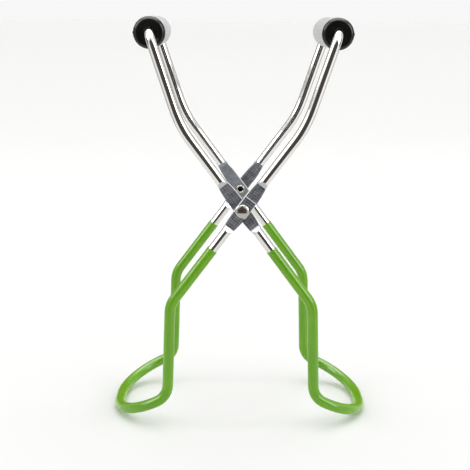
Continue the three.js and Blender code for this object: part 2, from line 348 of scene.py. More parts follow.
@dataclass(frozen=True)
class EdgeHighlight(Finish):
    """Pale steel laid on as thin bright lines: a painted highlight along the strips' rounded edges and
    bends.
    """

    name: str = "painted_edge_highlight"
    tint: str = "e6e7e8"
    scratch: str = "b9babb"
    metallic: float = 0.25
    roughness: float = 0.35
    scratch_mm: float = 0.6

    def surface(self, coat: Coat) -> None:
        """Breaks the painted highlight with short scratches."""
        scratches = coat.grain(self.scratch_mm)
        coat.mottle(scratches, ((0.25, self.scratch), (0.5, self.tint)), self.tint)
        coat.hold({"Metallic": self.metallic, "Roughness": self.roughness})


@dataclass(frozen=True)
class DippedVinyl(Finish):
    """Plastisol dip: saturated green, wet-looking, with soft runs in its thickness.

    Light that enters the soft vinyl comes out again near its outline, so a pale green sheen
    lightens the grips' edges.
    """

    name: str = "dipped_vinyl"
    body: str = "5f9b04"
    thin: str = "6daa09"
    roughness: float = 0.2
    ior: float = 1.53
    bloom: float = 0.5
    bloom_roughness: float = 0.35
    bloom_tint: str = "ccf04c"
    run_mm: float = 18.0
    peel_mm: float = 1.6

    def surface(self, coat: Coat) -> None:
        """Adds slow colour change and the dip's slight orange peel."""
        coat.mottle(coat.grain(self.run_mm), ((0.3, self.body), (0.75, self.thin)), self.body)
        coat.relief(coat.grain(self.peel_mm, detail=2.0), strength=0.12, depth_mm=0.12)
        coat.hold(
            {
                "Roughness": self.roughness,
                "IOR": self.ior,
                "Sheen Weight": self.bloom,
                "Sheen Roughness": self.bloom_roughness,
                "Sheen Tint": linear(self.bloom_tint),
            }
        )


@dataclass(frozen=True)
class SleevePlastic(Finish):
    """Extruded white sleeve: satin, with faint lines along its length."""

    name: str = "satin_white_sleeve"
    white: str = "dadbdb"
    shade: str = "cdcecf"
    roughness: float = 0.42
    line_mm: float = 1.1

    def surface(self, coat: Coat) -> None:
        """Adds extrusion lines that run along the roller."""
        lines = coat.grain(self.line_mm, stretch=(1, 0.03, 1))
        coat.mottle(lines, ((0.3, self.shade), (0.6, self.white)), self.white)
        coat.relief(lines, strength=0.15, depth_mm=0.05)
        coat.hold({"Roughness": self.roughness})


@dataclass(frozen=True)
class CapPlastic(Finish):
    """Injection-moulded black cap: deep black with a soft sheen from a fine spark texture."""

    name: str = "moulded_black_cap"
    black: str = "0c0d0b"
    worn: str = "171815"
    roughness: float = 0.2
    ior: float = 1.5
    specular: float = 0.36
    tone_mm: float = 5.0
    spark_mm: float = 0.5

    def surface(self, coat: Coat) -> None:
        """Adds the mould's spark texture and a slow change of tone."""
        coat.mottle(coat.grain(self.tone_mm), ((0.3, self.black), (0.8, self.worn)), self.black)
        coat.relief(coat.grain(self.spark_mm), strength=0.15, depth_mm=0.03)
        coat.hold(
            {
                "Roughness": self.roughness,
                "IOR": self.ior,
                "Specular IOR Level": self.specular,
            }
        )


@dataclass(frozen=True)
class TurnedSteel(Finish):
    """Plated steel hardware with faint turning or tumbling marks."""

    tint: str = "b4b0aa"
    roughness: float = 0.17
    mark_mm: float = 0.3

    def surface(self, coat: Coat) -> None:
        """Adds small marks to the gloss and the relief."""
        marks = coat.grain(self.mark_mm, detail=4.0)
        coat.vary_gloss(marks, self.roughness * 0.7, self.roughness * 1.6)
        coat.relief(marks, strength=0.1, depth_mm=0.02)
        coat.hold({"Base Color": linear(self.tint), "Metallic": 1.0})


@dataclass(frozen=True)
class BoreShade(Finish):
    """The rivet's punched eye, coloured near black as painted shade, so the hole reads dark."""

    name: str = "painted_bore_shade"
    deep_shade: str = "1d1c18"
    steel: str = "3a3a36"
    metallic: float = 0.4
    roughness: float = 0.45
    blotch_mm: float = 0.8

    def surface(self, coat: Coat) -> None:
        """Adds blotches to the painted shade."""
        coat.mottle(coat.grain(self.blotch_mm), ((0.35, self.deep_shade), (0.7, self.steel)), self.deep_shade)
        coat.hold({"Metallic": self.metallic, "Roughness": self.roughness})


@dataclass(frozen=True)
class StudioSweep(Finish):
    """The plain pale floor: matt white with the least gloss, so that things mirror faintly in it.

    It is painted darker round a spot just in front of the lifter and lighter further away: painted
    shade and painted light for the studio's fall of light.
    """

    name: str = "white_studio_sweep"
    near_shade: str = "f0f0ef"
    white: str = "f4f4f3"
    far: str = "fafaf9"
    shade_centre: tuple[float, float, float] = (0.0, -150.0, 0.0)
    shade_reach: float = 750.0
    roughness: float = 0.5
    specular: float = 0.15
    patch_mm: float = 1000 / 9

    def surface(self, coat: Coat) -> None:
        """Adds the painted shade and painted light by distance, and a trace of unevenness to the
        gloss.
        """
        patches = coat.grain(self.patch_mm, detail=2.0)
        coat.vary_gloss(patches, self.roughness * 0.9, self.roughness * 1.1)
        away = add_node(
            coat.tree,
            "ShaderNodeVectorMath",
            {"operation": "DISTANCE"},
            {0: coat.place(), 1: tuple(c * MM for c in self.shade_centre)},
        ).outputs["Value"]
        share = add_node(
            coat.tree,
            "ShaderNodeMath",
            {"operation": "DIVIDE"},
            {0: away, 1: self.shade_reach * MM},
        )
        # Darker near the lifter as painted shade, lighter far off as painted light.
        tones = ((0.05, self.near_shade), (0.3, self.white), (1.0, self.far))
        coat.mottle(share.outputs[0], tones, self.white)
        coat.hold({"Specular IOR Level": self.specular})


# ---- mesh helpers ----


def mesh_object(
    name: str,
    vertices: np.ndarray,
    faces: Sequence[Sequence[int]],
    materials: Sequence[bpy.types.Material],
    sharp_deg: float = 32.0,
) -> bpy.types.Object:
    """Makes a smooth-shaded mesh object at the origin, its corners kept sharp.

    Args:
        name: The piece's name.
        vertices: Points in metres, in the part's frame.
        faces: Vertex loops.
        materials: The piece's materials.
        sharp_deg: Edges that turn more than this stay sharp.

    Returns:
        The linked object.
    """
    mesh = bpy.data.meshes.new(name)
    mesh.from_pydata([tuple(v) for v in vertices], [], [tuple(f) for f in faces])
    mesh.validate()
    for material in materials:
        mesh.materials.append(material)
    mesh.polygons.foreach_set("use_smooth", [True] * len(mesh.polygons))
    mesh.set_sharp_from_angle(angle=math.radians(sharp_deg))
    mesh.update()
    piece = bpy.data.objects.new(name, mesh)
    bpy.context.scene.collection.objects.link(piece)
    return piece


def lathe(
    profile: Sequence[tuple[float, float]], centre: Vector, facing: int, sides: int
) -> tuple[np.ndarray, list[tuple[int, ...]]]:
    """Turns a profile about an axis along Y.

    Args:
        profile: (radius, height) pairs in millimetres, closed on themselves; a radius of 0 is on
            the axis. Height runs towards facing.
        centre: The axis point at height 0, in millimetres.
        facing: 1 or -1, the way height runs along Y.
        sides: Steps round the axis.

    Returns:
        Vertices in metres and faces that point outwards.
    """
    points: list[tuple[float, float, float]] = []
    rows: list[list[int]] = []
    for radius, height in profile:
        y = centre.y + facing * height
        if radius < 1e-6:
            rows.append([len(points)])
            points.append((centre.x, y, centre.z))
            continue
        rows.append(list(range(len(points), len(points) + sides)))
        for k in range(sides):
            turn = 2 * math.pi * k / sides
            points.append((centre.x + radius * math.cos(turn), y, centre.z + radius * math.sin(turn)))
    faces: list[tuple[int, ...]] = []
    for i, row in enumerate(rows):
        ahead = rows[(i + 1) % len(rows)]
        if len(row) == 1 and len(ahead) == 1:
            continue
        for k in range(sides):
            j = (k + 1) % sides
            loop = [row[k % len(row)], row[j % len(row)], ahead[j % len(ahead)], ahead[k % len(ahead)]]
            faces.append(tuple(dict.fromkeys(loop)))
    spots = np.array(points)
    fans = [(f[0], f[i], f[i + 1]) for f in faces for i in range(1, len(f) - 1)]
    a, b, c = (spots[[fan[i] for fan in fans]] for i in range(3))
    if np.einsum("ij,ij->i", a, np.cross(b, c)).sum() < 0:
        faces = [face[::-1] for face in faces]
    return spots * MM, faces


def rounded_line(corners: Sequence[Vector], radii: Sequence[float], step: float) -> list[Vector]:
    """Rounds a polyline's corners with arcs.

    Args:
        corners: The corners, in millimetres.
        radii: A radius for each corner; 0 leaves it out, as a point on a straight run.
        step: Spacing of the points along the arcs.

    Returns:
        The points, in order.
    """
    points = [corners[0].copy()]
    for i in range(1, len(corners) - 1):
        back = (corners[i - 1] - corners[i]).normalized()
        ahead = (corners[i + 1] - corners[i]).normalized()
        turn = math.pi - back.angle(ahead)
        if radii[i] == 0:
            points.append(corners[i].copy())
            continue
        start = corners[i] + back * (radii[i] * math.tan(turn / 2))
        axis = ahead.cross(back).normalized()
        centre = start + back.cross(axis).normalized() * radii[i]
        steps = max(4, math.ceil(radii[i] * turn / step))
        for k in range(steps + 1):
            points.append(centre + Quaternion(axis, turn * k / steps) @ (start - centre))
    points.append(corners[-1].copy())
    return points


def spaced(points: Sequence[Vector], step: float) -> list[Vector]:
    """Fills long straight runs with points.

    Args:
        points: A polyline.
        step: The longest run left open.

    Returns:
        The polyline with extra points on it.
    """
    filled = [points[0].copy()]
    for here, there in zip(points, points[1:]):
        count = max(1, math.ceil((there - here).length / step))
        filled += [here.lerp(there, k / count) for k in range(1, count + 1)]
    return filled


def hand_over(piece: bpy.types.Object, node: str, body: str) -> bpy.types.Object:
    """Gives a piece to the frame in its plain node's place.

    Args:
        piece: The finished piece.
        node: The node it replaces.
        body: The body it moves with.

    Returns:
        The piece.
    """
    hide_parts(node)
    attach(piece, body)
    return piece


# ---- the swept round bar, in Geometry Nodes ----


class SweepTree:
    """A node tree that sweeps a round section along a path and gives it a finish."""

    NAME = "sweep_round_bar"

    def build(self) -> bpy.types.NodeTree:
        """Builds the tree, once.

        Returns:
            The tree, with inputs Radius, Sides and Finish. Its path is the object's own edges, and
            each point's "swell" attribute scales the radius there.
        """
        found = bpy.data.node_groups.get(self.NAME)
        if found:
            return found
        tree = bpy.data.node_groups.new(self.NAME, "GeometryNodeTree")
        for name, way, kind in (
            ("Path", "INPUT", "Geometry"),
            ("Radius", "INPUT", "Float"),
            ("Sides", "INPUT", "Int"),
            ("Finish", "INPUT", "Material"),
            ("Bar", "OUTPUT", "Geometry"),
        ):
            tree.interface.new_socket(name, in_out=way, socket_type=f"NodeSocket{kind}")
        given = add_node(tree, "NodeGroupInput").outputs
        line = add_node(tree, "GeometryNodeMeshToCurve", inputs={"Mesh": given["Path"]})
        swell = add_node(
            tree, "GeometryNodeInputNamedAttribute", {"data_type": "FLOAT"}, {"Name": "swell"}
        )
        scaled = add_node(
            tree,
            "GeometryNodeSetCurveRadius",
            inputs={"Curve": line.outputs["Curve"], "Radius": swell.outputs["Attribute"]},
        )
        section = add_node(
            tree,
            "GeometryNodeCurvePrimitiveCircle",
            {"mode": "RADIUS"},
            {"Resolution": given["Sides"], "Radius": given["Radius"]},
        )
        bar = add_node(
            tree,
            "GeometryNodeCurveToMesh",
            inputs={
                "Curve": scaled.outputs["Curve"],
                "Profile Curve": section.outputs["Curve"],
                "Fill Caps": True,
            },
        )
        smooth = add_node(
            tree, "GeometryNodeSetShadeSmooth", inputs={"Geometry": bar.outputs["Mesh"]}
        )
        real = add_node(
            tree, "GeometryNodeRealizeInstances", inputs={"Geometry": smooth.outputs["Geometry"]}
        )
        dressed = add_node(
            tree,
            "GeometryNodeSetMaterial",
            inputs={"Geometry": real.outputs["Geometry"], "Material": given["Finish"]},
        )
        add_node(tree, "NodeGroupOutput", inputs={0: dressed.outputs["Geometry"]})
        return tree

    def sweep(
        self,
        name: str,
        path: Sequence[Vector],
        swell: Sequence[float],
        radius: float,
        sides: int,
        finish: bpy.types.Material,
    ) -> bpy.types.Object:
        """Sweeps one bar and leaves it as a plain mesh.

        Args:
            name: The piece's name.
            path: The centre line, in millimetres.
            swell: A radius factor for each point of the path.
            radius: The section's radius, in millimetres.
            sides: The section's sides.
            finish: The bar's material.

        Returns:
            The linked object, with no modifier.
        """
        edges = [(i, i + 1) for i in range(len(path) - 1)]
        mesh = bpy.data.meshes.new(name + "_path")
        mesh.from_pydata([tuple(p * MM) for p in path], edges, [])
        mesh.attributes.new("swell", "FLOAT", "POINT").data.foreach_set("value", list(swell))
        source = bpy.data.objects.new(name + "_path", mesh)
        bpy.context.scene.collection.objects.link(source)
        tree = self.build()
        modifier = source.modifiers.new("sweep", "NODES")
        modifier.node_group = tree
        values = {"Radius": radius * MM, "Sides": sides, "Finish": finish}
        for item in tree.interface.items_tree:
            if item.item_type == "SOCKET" and item.in_out == "INPUT" and item.name in values:
                modifier[item.identifier] = values[item.name]
        graph = bpy.context.evaluated_depsgraph_get()
        made = bpy.data.meshes.new_from_object(source.evaluated_get(graph), depsgraph=graph)
        made.name = name
        source.modifiers.remove(modifier)
        bpy.data.objects.remove(source)
        piece = bpy.data.objects.new(name, made)
        bpy.context.scene.collection.objects.link(piece)
        return piece


# ---- the object ----


@dataclass
class WireShape:
    """The bent wire's centre line: lengths in millimetres, leans from the vertical in degrees."""

    arm_spacing: float = 80.0
    jaw_length: float = 48.4
    jaw_lean: float = 18.7
    upper_length: float = 53.0
    lower_length: float = 61.1
    cross_lean: float = 36.7
    leg_length: float = 49.1
    leg_lean: float = 1.6
    bow_reach: float = 30.0
    bow_drop: float = 24.5
    bow_straight: float = 8.0
    jaw_end_radius: float = 6.0
    jaw_bend_radius: float = 62.0
    knee_radius: float = 14.0
    ankle_radius: float = 10.0
    stub_end: float = 21.0
    grip_start: float = 25.0
    wire_radius: float = 2.5
    pivot_z: float = 113.292

    @property
    def half_spacing(self) -> float:
        """The arms' distance from the middle plane."""
        return self.arm_spacing / 2

    def point(self, x: float, z: float, y: float, half: Half) -> Vector:
        """A point given from the pivot, with the jaw towards +x, in the part's frame."""
        return Vector((half.side * x, y, self.pivot_z + z))

    def corners(self) -> dict[str, tuple[float, float]]:
        """The centre line's corners from the pivot, with the jaw towards +x and the handle -x.

        Returns:
            The corners by name.
        """

        def run(start: tuple[float, float], lean: float, length: float) -> tuple[float, float]:
            angle = math.radians(lean)
            return (start[0] + math.sin(angle) * length, start[1] + math.cos(angle) * length)

        jaw_bend = run((0, 0), self.cross_lean, self.upper_length)
        jaw = run(jaw_bend, self.jaw_lean, self.jaw_length)
        knee = run((0, 0), self.cross_lean, -self.lower_length)
        ankle = run(knee, self.leg_lean, -self.leg_length)
        bow = run(ankle, 90 - self.bow_drop, -self.bow_reach)
        return {"jaw": jaw, "jaw_bend": jaw_bend, "knee": knee, "ankle": ankle, "bow": bow}

    def arm(self, half: Half, end: End) -> list[Vector]:
        """One arm's centre line, from the stub in the roller to the end of the ankle's bend.

        Args:
            half: Which half.
            end: Front or rear.

        Returns:
            The points, in millimetres.
        """
        c = self.corners()
        y = end.sign * self.half_spacing
        stub = self.point(*c["jaw"], end.sign * self.stub_end, half)
        rest = [self.point(*c[n], y, half) for n in ("jaw", "jaw_bend", "knee", "ankle", "bow")]
        radii = [0, self.jaw_end_radius, self.jaw_bend_radius, self.knee_radius, self.ankle_radius, 0]
        return rounded_line([stub, *rest], radii, 0.8)[:-1]

    def bow_quarter(self, half: Half, end: End, start: Vector, steps: int = 44) -> list[Vector]:
        """A quarter of the bow's ellipse, from the ankle to the straight end.

        Args:
            half: Which half.
            end: Front or rear.
            start: Where the ankle's bend ends.
            steps: Points along the quarter.

        Returns:
            The points after start, in millimetres.
        """
        c = self.corners()
        y = end.sign * self.half_spacing
        ankle, tip = (self.point(*c[n], y, half) for n in ("ankle", "bow"))
        outwards = (tip - ankle).normalized()
        reach = (tip - start).length
        depth = self.half_spacing - self.bow_straight / 2
        points = []
        for k in range(1, steps + 1):
            angle = math.pi / 2 * k / steps
            point = start + outwards * (reach * math.sin(angle))
            point.y -= end.sign * depth * (1 - math.cos(angle))
            points.append(point)
        return points

    def centre_line(self, half: Half) -> list[Vector]:
        """The whole centre line of one half, front stub to rear stub, in millimetres."""
        arms = []
        for end in End:
            arm = self.arm(half, end)
            arms.append(arm + self.bow_quarter(half, end, arm[-1]))
        front, rear = arms
        return front + rear[::-1]

    def grip_line(self, half: Half) -> list[Vector]:
        """The part of the centre line that the vinyl covers, in millimetres."""
        lean = math.radians(self.cross_lean)
        x, z = -math.sin(lean) * self.grip_start, -math.cos(lean) * self.grip_start
        top = self.pivot_z + z
        low = [p for p in self.centre_line(half) if p.z < top - 0.5]
        front, rear = (self.point(x, z, end.sign * self.half_spacing, half) for end in End)
        return [front, *low, rear]


@dataclass
class PressedStrip:
    """How the dies press the wire at a pivot: distances from the rivet, positive to the jaw."""

    half_thickness: float = 1.0
    top_crease: float = 15.9
    bottom_crease: float = -10.8
    shoulder: float = 2.3
    set_off: float = 1.4
    bends: dict[Half, tuple[float, float]] = field(
        default_factory=lambda: {Half.OUTER: (7.2, -2.3), Half.INNER: (6.8, -6.8)}
    )
    leaf: tuple[tuple[float, float], ...] = (
        (-10.8, 1.15),
        (-9.4, 1.25),
        (-7.2, 1.36),
        (-4.6, 1.43),
        (-2.3, 1.46),
        (4.0, 1.46),
        (7.0, 1.45),
        (9.5, 1.42),
        (12.0, 1.35),
        (14.3, 1.23),
        (15.9, 1.12),
    )
    burr: float = 0.03
    burr_width: float = 0.22
    fine_step: float = 0.08
    fine_rings: int = 6
    coarse_step: float = 0.45
    ring_gap: float = 0.2

    def stations(self, half: Half) -> list[float]:
        """Distances along the arm that need a ring, closer together where the shape turns."""
        marks = {self.top_crease, self.bottom_crease, *self.bends[half]}
        marks |= {self.top_crease + self.shoulder, self.bottom_crease - self.shoulder}
        steps = range(-self.fine_rings, self.fine_rings + 1)
        fine = {round(m + k * self.fine_step, 4) for m in marks for k in steps}
        low, high = self.bottom_crease - self.shoulder - 1, self.top_crease + self.shoulder + 1
        count = int((high - low) / self.coarse_step) + 1
        coarse = {round(low + k * self.coarse_step, 4) for k in range(count)}
        apart = {s for s in coarse if min(abs(s - f) for f in fine) > self.ring_gap}
        return sorted(fine | apart)

    def press(
        self, s: np.ndarray, across: np.ndarray, depth: np.ndarray, half: Half, radius: float
    ) -> tuple[np.ndarray, np.ndarray]:
        """Presses points of the round wire into the strip.

        Args:
            s: Distance of each point from the rivet along the arm.
            across: Offset across the arm, in its plane.
            depth: Offset out of the arms' plane, positive outwards from the lifter's middle.
            half: Which half.
            radius: The wire's radius.

        Returns:
            The new across and depth.
        """
        top, bottom = self.bends[half]
        away = np.maximum(np.maximum(s - self.top_crease, self.bottom_crease - s), 0)
        rise = (radius - self.half_thickness) / self.shoulder
        limit = self.half_thickness + away * rise
        for mark in (top, bottom, self.top_crease, self.bottom_crease):
            limit = limit + self.burr * np.exp(-(((s - mark) / self.burr_width) ** 2))
        xs, widths = zip(*self.leaf)
        xs = (xs[0] - self.shoulder, *xs, xs[-1] + self.shoulder)
        widen = np.interp(s, xs, (1.0, *widths, 1.0))
        rounded = np.clip(depth, -limit, limit)
        off = np.interp(s, [self.bottom_crease, bottom, top, self.top_crease], [0, 1, 1, 0])
        return across * widen, rounded + half.outward * self.set_off * off


@dataclass
class BentHalf:
    """One half of the lifter: the bent, pressed and drilled wire, and its dipped handle."""

    half: Half
    shape: WireShape = field(default_factory=WireShape)
    strip: PressedStrip = field(default_factory=PressedStrip)
    sides: int = 48
    wire_step: float = 4.0
    hole_radius: float = 1.98
    # How far the drill runs past the strips, inwards and outwards.
    drill_reach: float = 12.0
    grip_radius: float = 2.78
    grip_bore: float = 2.52
    grip_sides: int = 40
    grip_step: float = 2.0
    # The vinyl's lip: over this length it rounds up from its edge's thickness, and it stays
    # thinner by the given amount for a while.
    lip: tuple[float, ...] = (0.0, 0.12, 0.3, 0.6, 1.0)
    lip_length: float = 0.6
    lip_edge: float = 0.02
    thinning: float = 0.12
    thinning_reach: float = 6.0
    # Width of the painted highlight along each bend.
    highlight_width: float = 0.5
    sharp_deg: float = 24.0
    # The box round a pivot's strip: half its width and half its depth.
    strip_box: tuple[float, float] = (6.0, 4.0)
    # The straight run that carries the strip passes this near the pivot and is this long.
    run_near: float = 60.0
    run_length: float = 30.0

    def lean(self) -> float:
        """The pressed strips' lean from the vertical, in degrees, positive towards +X."""
        return self.half.side * self.shape.cross_lean

    def line(self) -> list[Vector]:
        """The wire's centre line with rings set for the pressed strips."""
        centre = self.shape.centre_line(self.half)
        lean = math.radians(self.shape.cross_lean)
        along = Vector((self.half.side * math.sin(lean), 0, math.cos(lean)))
        stations = self.strip.stations(self.half)
        points: list[Vector] = [centre[0]]
        for here, there in zip(centre, centre[1:]):
            passes_pivot = (here.z - self.shape.pivot_z) * (there.z - self.shape.pivot_z) < 0
            long_run = (there - here).length > self.run_length
            if passes_pivot and abs(here.x) < self.run_near and long_run:
                pivot = Vector((0, here.y, self.shape.pivot_z))
                rings = [pivot + along * s for s in stations]
                points += rings[::-1] if there.z < here.z else rings
            points.append(there)
        return spaced(points, self.wire_step)

    def make_wire(self) -> bpy.types.Object:
        """Sweeps the wire, presses its strips and drills the rivet holes.

        Returns:
            The wire's object.
        """
        line = self.line()
        chrome = ChromePlate().build()
        name = f"{self.half.value}_wire"
        piece = SweepTree().sweep(
            name, line, [1.0] * len(line), self.shape.wire_radius, self.sides, chrome
        )
        mesh = piece.data
        points = np.empty(len(mesh.vertices) * 3)
        mesh.vertices.foreach_get("co", points)
        points = points.reshape(-1, 3) / MM
        lean = math.radians(self.shape.cross_lean) * self.half.side
        rel = points - np.array([0, 0, self.shape.pivot_z])
        s = rel[:, 0] * math.sin(lean) + rel[:, 2] * math.cos(lean)
        across = rel[:, 0] * math.cos(lean) - rel[:, 2] * math.sin(lean)
        outward = np.sign(points[:, 1])
        depth = np.abs(points[:, 1]) - self.shape.half_spacing
        reach = self.strip.shoulder
        half_width, half_depth = self.strip_box
        near = (
            (s < self.strip.top_crease + reach)
            & (s > self.strip.bottom_crease - reach)
            & (np.abs(across) < half_width)
            & (np.abs(depth) < half_depth)
        )
        new_across, new_depth = self.strip.press(
            s[near], across[near], depth[near], self.half, self.shape.wire_radius
        )
        moved = points[near]
        moved[:, 0] = s[near] * math.sin(lean) + new_across * math.cos(lean)
        up = s[near] * math.cos(lean) - new_across * math.sin(lean)
        moved[:, 2] = up + self.shape.pivot_z
        moved[:, 1] = outward[near] * (self.shape.half_spacing + new_depth)
        points[near] = moved
        mesh.vertices.foreach_set("co", (points * MM).ravel())
        self.dress(mesh, s, across, near)
        mesh.set_sharp_from_angle(angle=math.radians(self.sharp_deg))
        mesh.update()
        self.drill(piece)
        return piece

    def dress(
        self, mesh: bpy.types.Mesh, s: np.ndarray, across: np.ndarray, near: np.ndarray
    ) -> None:
        """Gives the strips their pressed finish, with painted highlights on edges and bends and
        painted light and shade on some faces.

        Args:
            mesh: The pressed wire's mesh.
            s: Distance of each point from the rivet along the arm.
            across: Offset of each point across the arm, before it was pressed.
            near: Which points lie on a strip.
        """
        for finish in (
            PressedSteel(f"pressed_steel_{self.half.value}", -self.lean()),
            # Pale lines of painted highlight for edges and bends.
            EdgeHighlight(),
            # A lighter copy of the pressed steel with a weaker grid; its lighter tones are painted
            # light.
            PressedSteel("lit_inward_pressed_steel", -self.lean(), "b0b4bb", "74787f", grid_depth=0.3),
            # Rougher satin chrome; its darker tint is painted shade on the shoulders.
            ChromePlate("satin_shaded_shoulder_chrome", "b9bcbe", 0.28),
        ):
            mesh.materials.append(finish.build())
        top, bottom = self.strip.top_crease, self.strip.bottom_crease
        bends = self.strip.bends[self.half]
        flat = math.sqrt(self.shape.wire_radius**2 - self.strip.half_thickness**2)
        for polygon in mesh.polygons:
            ring = list(polygon.vertices)
            if not near[ring].all():
                continue
            middle, off = s[ring].mean(), np.abs(across[ring]).mean()
            shoulder = not bottom < middle < top
            rear_top = polygon.center.y > 0 and middle > 0
            if shoulder and not rear_top:
                # These shoulders get the satin chrome, with painted shade in its darker tint.
                if off < flat and (middle > 0 or self.half is Half.INNER):
                    polygon.material_index = WireFace.SHADED_SHOULDER
                continue
            faces_out = polygon.normal.y * polygon.center.y > 0
            on_bend = min(abs(middle - bend) for bend in bends) < self.highlight_width / 2
            level = self.half is Half.OUTER and bends[1] < middle < bends[0]
            slot = WireFace.PRESSED
            # Upward rounded edges and the outer half's convex bends get a painted highlight.
            if off > flat:
                if (polygon.normal.z > 0 or level) and not shoulder:
                    slot = WireFace.PAINTED_HIGHLIGHT
            elif on_bend and faces_out and self.half is Half.OUTER:
                slot = WireFace.PAINTED_HIGHLIGHT
            # The inner half's inward faces get the lighter copy, painted light.
            elif self.half is Half.INNER and not faces_out:
                slot = WireFace.LIT_INWARD
            polygon.material_index = slot

    def drill(self, piece: bpy.types.Object) -> None:
        """Cuts both rivet holes through the strips.

        Args:
            piece: The wire's object.
        """
        r, y = self.hole_radius, self.shape.half_spacing + self.drill_reach
        centre = Vector((0, 0, self.shape.pivot_z))
        profile = [(0, -y), (r, -y), (r, y), (0, y)]
        vertices, faces = lathe(profile, centre, 1, self.sides)
        drill = mesh_object("drill", vertices, faces, [])
        cut = piece.modifiers.new("drill", "BOOLEAN")
        cut.operation = "DIFFERENCE"
        cut.object = drill
        cut.solver = "EXACT"
        graph = bpy.context.evaluated_depsgraph_get()
        made = bpy.data.meshes.new_from_object(piece.evaluated_get(graph), depsgraph=graph)
        piece.modifiers.remove(cut)
        old = piece.data
        piece.data = made
        bpy.data.meshes.remove(old)
        bpy.data.objects.remove(drill)

    def make_grip(self) -> bpy.types.Object:
        """Sweeps the dipped vinyl over the handle, thinner and rounded off at its two ends.

        Returns:
            The grip's object.
        """
        line = spaced(self.shape.grip_line(self.half), self.grip_step)
        ends = (line[0], line[-1])
        direction = (line[1] - line[0]).normalized()
        mirrored = Vector((direction.x, -direction.y, direction.z))
        front = [line[0] + direction * d for d in self.lip]
        rear = [line[-1] + mirrored * d for d in reversed(self.lip)]
        line = front + line[1:-1] + rear
        edge = self.grip_bore + self.lip_edge
        swell = []
        for p in line:
            away = min((p - e).length for e in ends)
            rise = min(away / self.lip_length, 1.0)
            round_off = math.sqrt(max(0.0, 1 - (1 - rise) ** 2))
            thin = self.grip_radius - self.thinning * math.exp(-away / self.thinning_reach)
            swell.append((edge + (thin - edge) * round_off) / self.grip_radius)
        name = f"{self.half.value}_grip"
        vinyl = DippedVinyl().build()
        return SweepTree().sweep(name, line, swell, self.grip_radius, self.grip_sides, vinyl)

    def make(self) -> list[bpy.types.Object]:
        """Makes the wire and the grip and hands each to the frame.

        Returns:
            The pieces.
        """
        name, body = self.half.value, f"{self.half.value}_half"
        return [
            hand_over(self.make_wire(), f"{name}_frame_wire", body),
            hand_over(self.make_grip(), f"{name}_handle_grip", body),
        ]


@dataclass
class JawRoller:
    """A jaw roller: a white sleeve on two black end caps."""

    half: Half
    shape: WireShape = field(default_factory=WireShape)
    sleeve_radius: float = 8.1
    sleeve_bore: float = 6.2
    sleeve_ease: float = 0.45
    half_length: float = 31.0
    cap_radius: float = 8.1
    cap_round: float = 2.2
    cap_face: float = 33.6
    plug_radius: float = 6.1
    plug_end: float = 25.0
    hole_radius: float = 2.56
    # The collar round the hole: each step's radius, and its depth below the cap's face.
    collar: tuple[tuple[float, float], ...] = ((4.6, 0.14), (4.2, 0.02), (3.4, 0.0))
    # The gate's swelling: its height, its width in radians, and how far in from the rim it runs.
    gate_rise: float = 0.3
    gate_width: float = 0.07
    gate_run: float = 0.6
    sides: int = 96

    def axis(self) -> Vector:
        """The roller's axis in the middle of its length, in millimetres."""
        return self.shape.point(*self.shape.corners()["jaw"], 0, self.half)

    def make_sleeve(self) -> bpy.types.Object:
        """Turns the sleeve, with eased ends.

        Returns:
            The sleeve's object.
        """
        half, ease = self.half_length, self.sleeve_ease
        edge = [
            (self.sleeve_radius - ease + ease * math.sin(a), half - ease + ease * math.cos(a))
            for a in np.linspace(0, math.pi / 2, 6)
        ]
        middle = [(self.sleeve_radius, y) for y in np.linspace(half - 4, -half + 4, 9)]
        low = [(r, -y) for r, y in reversed(edge)]
        profile = [(self.sleeve_bore, half), *edge, *middle, *low, (self.sleeve_bore, -half)]
        vertices, faces = lathe(profile[::-1], self.axis(), 1, self.sides)
        name = f"{self.half.value}_sleeve"
        return mesh_object(name, vertices, faces, [SleevePlastic().build()])

    def make_cap(self, end: End) -> bpy.types.Object:
        """Turns one cap: plug, flange with a rounded rim, dished face and a collar at the hole.

        Args:
            end: Which end of the roller.

        Returns:
            The cap's object.
        """
        face, rim = self.cap_face, self.cap_round
        seat = self.half_length + 0.05
        rounding = [
            (self.cap_radius - rim + rim * math.cos(a), face - rim + rim * math.sin(a))
            for a in np.linspace(0, math.pi / 2, 10)
        ]
        profile = [
            (self.hole_radius, self.plug_end),
            (self.plug_radius - 0.6, self.plug_end),
            (self.plug_radius, self.plug_end + 0.6),
            (self.plug_radius, seat),
            (self.cap_radius - 0.25, seat),
            (self.cap_radius, seat + 0.2),
            *rounding,
            (self.cap_radius - rim - 0.5, face - 0.08),
            *((radius, face - depth) for radius, depth in self.collar),
            (self.hole_radius + 0.35, face - 0.05),
            (self.hole_radius, face - 0.4),
        ]
        axis = self.axis()
        vertices, faces = lathe(profile, axis, end.sign, self.sides)
        # The moulding gate leaves a small swelling on the rim, on the side away from the jaws.
        rel = vertices / MM - np.array(axis)
        angle = np.arctan2(rel[:, 2], rel[:, 0] * self.half.side)
        radius = np.hypot(rel[:, 0], rel[:, 2])
        swell = np.exp(-((angle / self.gate_width) ** 2)) * self.gate_rise
        swell *= radius > self.cap_radius - self.gate_run
        rel[:, 0] *= 1 + swell / radius
        rel[:, 2] *= 1 + swell / radius
        vertices = (rel + np.array(axis)) * MM
        name = f"{self.half.value}_cap_{end.value}"
        return mesh_object(name, vertices, faces, [CapPlastic().build()])

    def make(self) -> list[bpy.types.Object]:
        """Makes the sleeve and caps and hands each to the frame.

        Returns:
            The pieces.
        """
        name, body = self.half.value, f"{self.half.value}_roller"
        sleeve = hand_over(self.make_sleeve(), f"{name}_roller_sleeve", body)
        caps = [
            hand_over(self.make_cap(end), f"{name}_roller_cap_{end.value}", body)
            for end in End
        ]
        return [sleeve, *caps]


